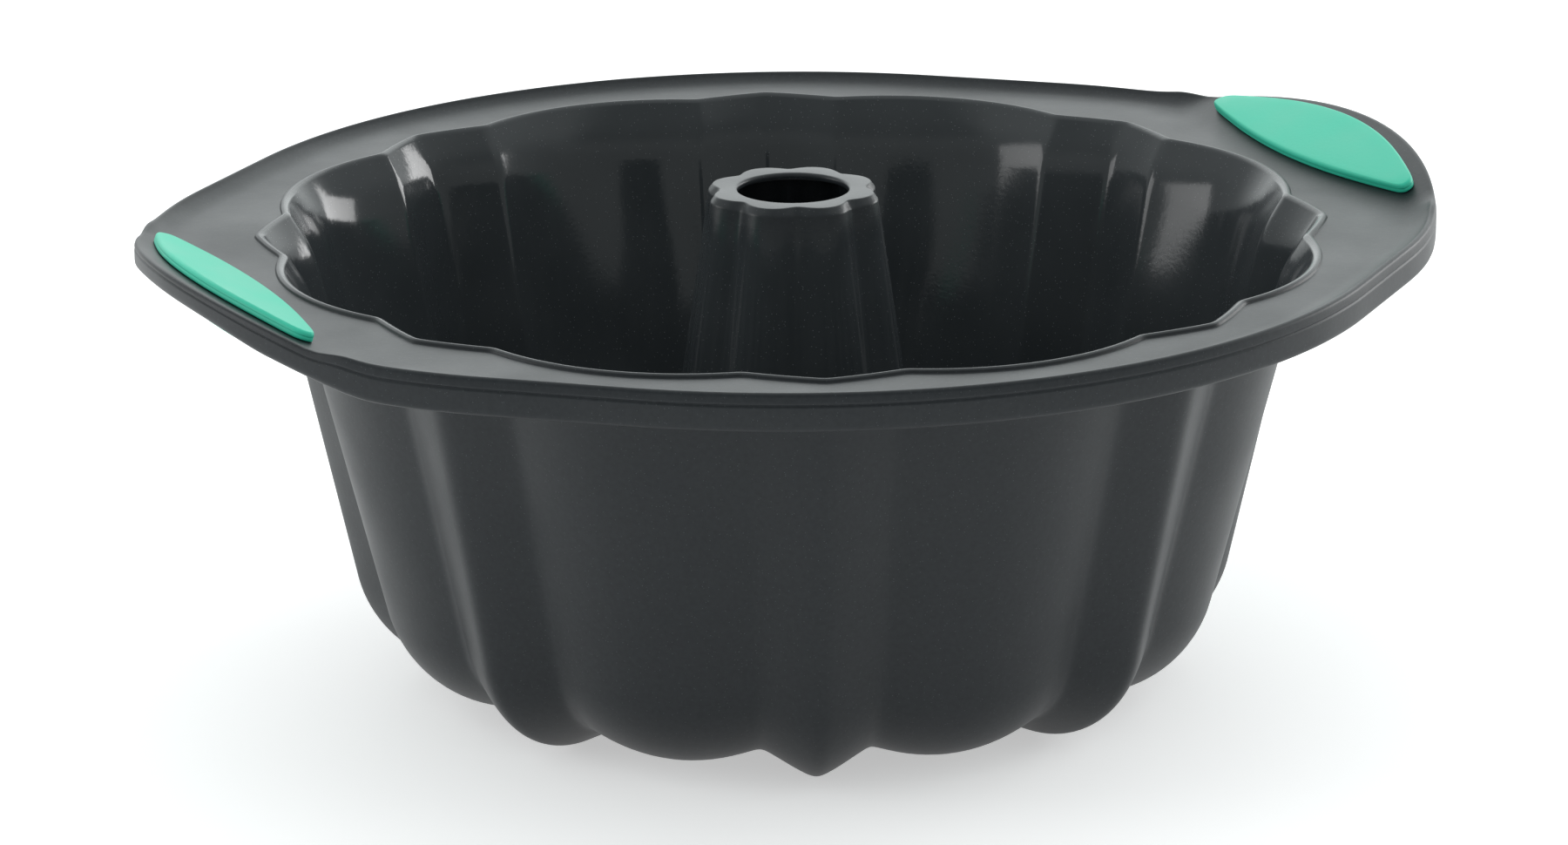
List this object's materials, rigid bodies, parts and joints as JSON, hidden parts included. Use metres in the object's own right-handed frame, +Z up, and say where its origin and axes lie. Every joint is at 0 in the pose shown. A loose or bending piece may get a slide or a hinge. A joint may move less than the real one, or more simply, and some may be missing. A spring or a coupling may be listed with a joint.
{
  "type": "fluted tube pan",
  "caption": "Fluted tube pan of moulded silicone for ring cakes: deep scalloped cavity round a hollow tube, broad wire-stiffened rim and turned-up handles with soft grip pads.",
  "frame": {"origin": "on the ground under the middle of the tube", "axes": "+X along the handles, +Y across the pan, +Z up out of the cavity"},
  "size_m": [0.2852, 0.258, 0.107],
  "materials": {
    "charcoal_silicone": "satin outside, glossy in the cavity, fine pale specks",
    "mint_silicone": "matte",
    "wire_steel": "drawn wire"
  },
  "bodies": {
    "root": {"pan_body": "charcoal_silicone", "rim_wire": "wire_steel", "right_grip_pad": "mint_silicone", "right_grip_under_pad": "mint_silicone", "left_grip_pad": "mint_silicone", "left_grip_under_pad": "mint_silicone"}
  },
  "joints": []
}
